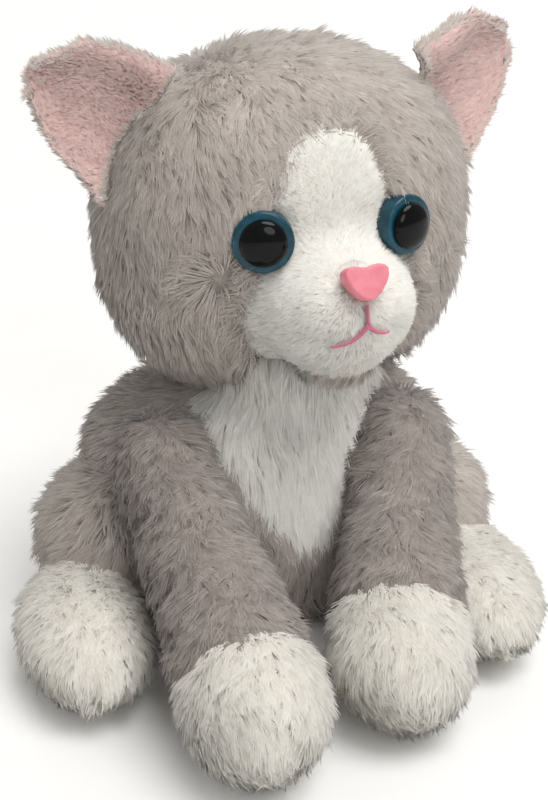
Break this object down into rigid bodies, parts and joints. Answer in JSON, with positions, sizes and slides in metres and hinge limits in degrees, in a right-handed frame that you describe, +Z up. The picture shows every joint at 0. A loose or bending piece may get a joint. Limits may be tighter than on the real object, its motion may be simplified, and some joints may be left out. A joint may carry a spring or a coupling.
{
  "type": "sitting plush cat",
  "caption": "Sitting plush kitten with grey fur, a white face, bib and feet, pink-lined ears, domed teal eyes, a plastic nose and limbs that flex at sewn seams.",
  "frame": {"origin": "on the table, at the middle of the flat of the seat", "axes": "+Z up, -Y the way the body faces, +X the kitten's own left"},
  "size_m": [0.1725, 0.2373, 0.1866],
  "materials": {
    "grey_plush": "soft pile",
    "white_plush": "soft pile",
    "pink_velour": "short soft pile",
    "fibrefill": "loose fibre",
    "bean_bag_cloth": "woven",
    "teal_plastic": "glossy",
    "black_plastic": "glossy",
    "pink_plastic": "satin",
    "washer_plastic": "satin",
    "pink_thread": "embroidery thread",
    "grey_thread": "sewing thread",
    "white_satin": "satin ribbon"
  },
  "bodies": {
    "torso": {"body_skin": "grey_plush", "chest_bib": "white_plush", "body_stuffing": "fibrefill", "pellet_bag": "bean_bag_cloth", "sewn_in_label": "white_satin"},
    "neck_core": {"neck_stuffing": "fibrefill"},
    "neck_seam": {"neck_seam_thread": "grey_thread"},
    "head": {"head_skin": "grey_plush", "face_panel": "white_plush", "head_stuffing": "fibrefill", "left_eye_iris": "teal_plastic", "left_eye_pupil": "black_plastic", "left_eye_washer": "washer_plastic", "right_eye_iris": "teal_plastic", "right_eye_pupil": "black_plastic", "right_eye_washer": "washer_plastic", "nose": "pink_plastic", "nose_washer": "washer_plastic", "mouth_stitching": "pink_thread"},
    "ear_left": {"left_ear_back": "grey_plush", "left_ear_lining": "pink_velour"},
    "ear_right": {"right_ear_back": "grey_plush", "right_ear_lining": "pink_velour"},
    "foreleg_left": {"left_front_leg": "grey_plush", "left_front_paw": "white_plush", "left_front_leg_stuffing": "fibrefill"},
    "foreleg_right": {"right_front_leg": "grey_plush", "right_front_paw": "white_plush", "right_front_leg_stuffing": "fibrefill"},
    "hindleg_left": {"left_haunch": "grey_plush", "left_hind_foot": "white_plush", "left_hind_leg_stuffing": "fibrefill"},
    "hindleg_right": {"right_haunch": "grey_plush", "right_hind_foot": "white_plush", "right_hind_leg_stuffing": "fibrefill"},
    "tail_body": {"tail": "grey_plush", "tail_stuffing": "fibrefill"}
  },
  "joints": [
    {"name": "head_turn", "type": "hinge", "parent": "torso", "child": "neck_core", "pos_m": [0.008, -0.006, 0.09], "axis": [0, 0, 1], "range_deg": [-40, 25], "stiffness_Nm_per_rad": 0.25},
    {"name": "head_tilt", "type": "hinge", "parent": "neck_core", "child": "neck_seam", "pos_m": [0.008, -0.006, 0.09], "axis": [0.1564, -0.9877, 0], "range_deg": [-6, 6], "stiffness_Nm_per_rad": 0.5},
    {"name": "head_nod", "type": "hinge", "parent": "neck_seam", "child": "head", "pos_m": [0.008, -0.006, 0.09], "axis": [0.9877, 0.1564, 0], "range_deg": [-7, 5], "stiffness_Nm_per_rad": 0.5},
    {"name": "left_ear_fold", "type": "hinge", "parent": "head", "child": "ear_left", "pos_m": [0.05905, 0.00411, 0.16], "axis": [0.4463, 0.1894, -0.8746], "range_deg": [-15, 15], "stiffness_Nm_per_rad": 0.02},
    {"name": "right_ear_fold", "type": "hinge", "parent": "head", "child": "ear_right", "pos_m": [-0.04367, -0.01216, 0.16], "axis": [0.483, -0.0423, 0.8746], "range_deg": [-15, 15], "stiffness_Nm_per_rad": 0.02},
    {"name": "left_foreleg_swing", "type": "hinge", "parent": "torso", "child": "foreleg_left", "pos_m": [0.038, -0.03, 0.061], "axis": [1, 0, 0], "range_deg": [-22, 3], "stiffness_Nm_per_rad": 0.3},
    {"name": "right_foreleg_swing", "type": "hinge", "parent": "torso", "child": "foreleg_right", "pos_m": [-0.038, -0.03, 0.061], "axis": [1, 0, 0], "range_deg": [-22, 3], "stiffness_Nm_per_rad": 0.3},
    {"name": "left_hindleg_splay", "type": "hinge", "parent": "torso", "child": "hindleg_left", "pos_m": [0.044, -0.006, 0.025], "axis": [0, 0, 1], "range_deg": [0, 16], "stiffness_Nm_per_rad": 0.2},
    {"name": "right_hindleg_splay", "type": "hinge", "parent": "torso", "child": "hindleg_right", "pos_m": [-0.044, -0.006, 0.025], "axis": [0, 0, 1], "range_deg": [-16, 0], "stiffness_Nm_per_rad": 0.2},
    {"name": "tail_swing", "type": "hinge", "parent": "torso", "child": "tail_body", "pos_m": [0, 0.056, 0.02], "axis": [0, 0, 1], "range_deg": [-16, 16], "stiffness_Nm_per_rad": 0.05}
  ]
}
